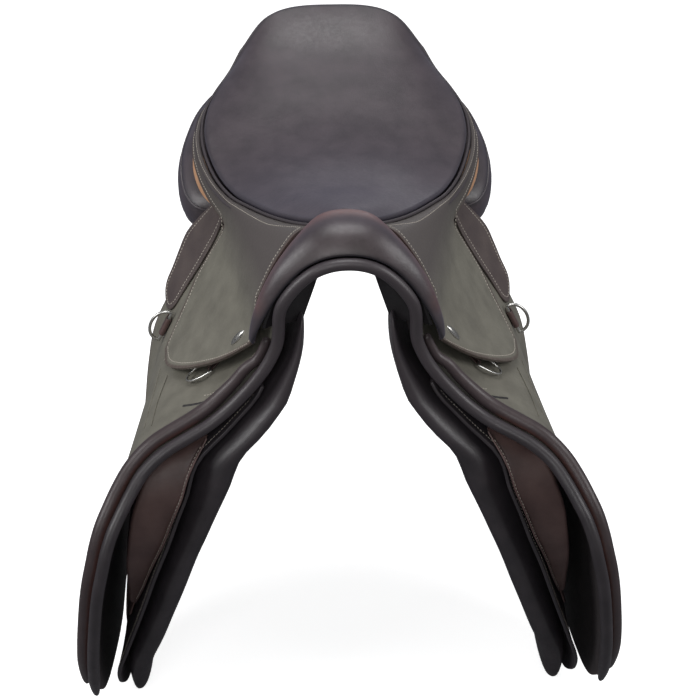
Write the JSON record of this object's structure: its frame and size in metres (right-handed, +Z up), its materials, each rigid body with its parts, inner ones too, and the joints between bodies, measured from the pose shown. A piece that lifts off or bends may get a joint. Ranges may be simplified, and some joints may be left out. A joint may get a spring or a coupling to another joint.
{
  "type": "jumping saddle",
  "caption": "Forward-cut jumping saddle: dished seat, padded pommel roll, skirts over stirrup bars, lifting flaps with knee rolls, billets and wool-flocked panels.",
  "frame": {"origin": "underside of the gullet lining in the middle of the saddle, where a rack arm carries it", "axes": "+Z up, -Y towards the horse's head, +X towards the rider's left"},
  "size_m": [0.5946, 0.5746, 0.665],
  "materials": {
    "brown_calf": "smooth calf with a soft sheen",
    "olive_calf": "matt smooth calf",
    "russet_leather": "firm bridle leather, waxed edges",
    "lining_leather": "thin dull lining hide",
    "natural_leather": "undyed vegetable-tanned leather",
    "steel": "polished stainless steel",
    "foam": "open-cell latex foam",
    "webbing": "tight woven webbing",
    "beech": "bent laminated beech"
  },
  "bodies": {
    "saddle": {"cantle_back": "brown_calf", "front_welt": "brown_calf", "gullet_lining": "lining_leather", "left_flap_upper": "olive_calf", "left_front_chape": "russet_leather", "left_jockey": "olive_calf", "left_knee_block": "russet_leather", "left_panel": "brown_calf", "left_rail_edge": "natural_leather", "left_rear_panel": "brown_calf", "left_rear_strip": "russet_leather", "left_side_chape": "russet_leather", "left_stirrup_bar": "steel", "left_sweat_flap": "brown_calf", "left_thigh_block": "russet_leather", "left_upper_roll": "brown_calf", "pommel_roll": "brown_calf", "right_flap_upper": "olive_calf", "right_front_chape": "russet_leather", "right_jockey": "olive_calf", "right_knee_block": "russet_leather", "right_panel": "brown_calf", "right_rail_edge": "natural_leather", "right_rear_panel": "brown_calf", "right_rear_strip": "russet_leather", "right_side_chape": "russet_leather", "right_stirrup_bar": "steel", "right_sweat_flap": "brown_calf", "right_thigh_block": "russet_leather", "right_upper_roll": "brown_calf", "seat_cover": "brown_calf", "seat_foam": "foam", "seat_webbing": "webbing", "seat_welt": "brown_calf", "tree": "beech", "tree_head": "beech"},
    "left_skirt": {"left_skirt": "olive_calf", "left_skirt_stud": "steel"},
    "left_flap": {"left_flap": "olive_calf", "left_flap_welt": "brown_calf", "left_flap_roll": "brown_calf"},
    "left_bar_catch": {"left_bar_catch": "steel"},
    "left_side_dee": {"left_side_dee": "steel"},
    "left_front_dee": {"left_front_dee": "steel"},
    "left_billets": {"left_front_billet": "russet_leather", "left_middle_billet": "russet_leather", "left_rear_billet": "russet_leather"},
    "left_buckle_guard": {"left_buckle_guard": "russet_leather"},
    "right_skirt": {"right_skirt": "olive_calf", "right_skirt_stud": "steel"},
    "right_flap": {"right_flap": "olive_calf", "right_flap_welt": "brown_calf", "right_flap_roll": "brown_calf"},
    "right_bar_catch": {"right_bar_catch": "steel"},
    "right_side_dee": {"right_side_dee": "steel"},
    "right_front_dee": {"right_front_dee": "steel"},
    "right_billets": {"right_front_billet": "russet_leather", "right_middle_billet": "russet_leather", "right_rear_billet": "russet_leather"},
    "right_buckle_guard": {"right_buckle_guard": "russet_leather"}
  },
  "joints": [
    {"name": "left_skirt_lift", "type": "hinge", "parent": "saddle", "child": "left_skirt", "pos_m": [0.11002, -0.09151, -0.00252], "axis": [-0.1864, -0.9786, 0.0869], "range_deg": [0, 70]},
    {"name": "left_flap_lift", "type": "hinge", "parent": "saddle", "child": "left_flap", "pos_m": [0.22379, -0.12258, -0.15087], "axis": [0.03, -0.9996, 0], "range_deg": [0, 50]},
    {"name": "left_bar_catch_turn", "type": "hinge", "parent": "saddle", "child": "left_bar_catch", "pos_m": [0.12794, -0.05468, -0.0582], "axis": [-0.8441, 0.1866, -0.5026], "range_deg": [0, 70]},
    {"name": "left_side_dee_swing", "type": "hinge", "parent": "saddle", "child": "left_side_dee", "pos_m": [0.19957, -0.00009, -0.13524], "axis": [-0.4406, 0.011, 0.8976], "range_deg": [-70, 70]},
    {"name": "left_front_dee_swing", "type": "hinge", "parent": "saddle", "child": "left_front_dee", "pos_m": [0.14495, -0.13386, -0.10691], "axis": [-0.1528, -0.9882, -0.0118], "range_deg": [0, 10]},
    {"name": "left_billet_swing", "type": "hinge", "parent": "saddle", "child": "left_billets", "pos_m": [0.18882, -0.108, -0.168], "axis": [0.8237, 0.0203, 0.5667], "range_deg": [-1, 2]},
    {"name": "left_guard_slide", "type": "slide", "parent": "left_billets", "child": "left_buckle_guard", "axis": [0.2213, 0, -0.9752], "range_m": [0, 0.015]},
    {"name": "right_skirt_lift", "type": "hinge", "parent": "saddle", "child": "right_skirt", "pos_m": [-0.11002, -0.09151, -0.00252], "axis": [-0.1864, 0.9786, -0.0869], "range_deg": [0, 70]},
    {"name": "right_flap_lift", "type": "hinge", "parent": "saddle", "child": "right_flap", "pos_m": [-0.22379, -0.12258, -0.15087], "axis": [0.03, 0.9996, 0], "range_deg": [0, 50]},
    {"name": "right_bar_catch_turn", "type": "hinge", "parent": "saddle", "child": "right_bar_catch", "pos_m": [-0.12794, -0.05468, -0.0582], "axis": [-0.8441, -0.1866, 0.5026], "range_deg": [0, 70]},
    {"name": "right_side_dee_swing", "type": "hinge", "parent": "saddle", "child": "right_side_dee", "pos_m": [-0.19957, -0.00009, -0.13524], "axis": [-0.4406, -0.011, -0.8976], "range_deg": [-70, 70]},
    {"name": "right_front_dee_swing", "type": "hinge", "parent": "saddle", "child": "right_front_dee", "pos_m": [-0.14495, -0.13386, -0.10691], "axis": [-0.1528, 0.9882, 0.0118], "range_deg": [0, 10]},
    {"name": "right_billet_swing", "type": "hinge", "parent": "saddle", "child": "right_billets", "pos_m": [-0.18882, -0.108, -0.168], "axis": [0.8237, -0.0203, -0.5667], "range_deg": [-1, 2]},
    {"name": "right_guard_slide", "type": "slide", "parent": "right_billets", "child": "right_buckle_guard", "axis": [-0.2213, 0, -0.9752], "range_m": [0, 0.015]}
  ]
}
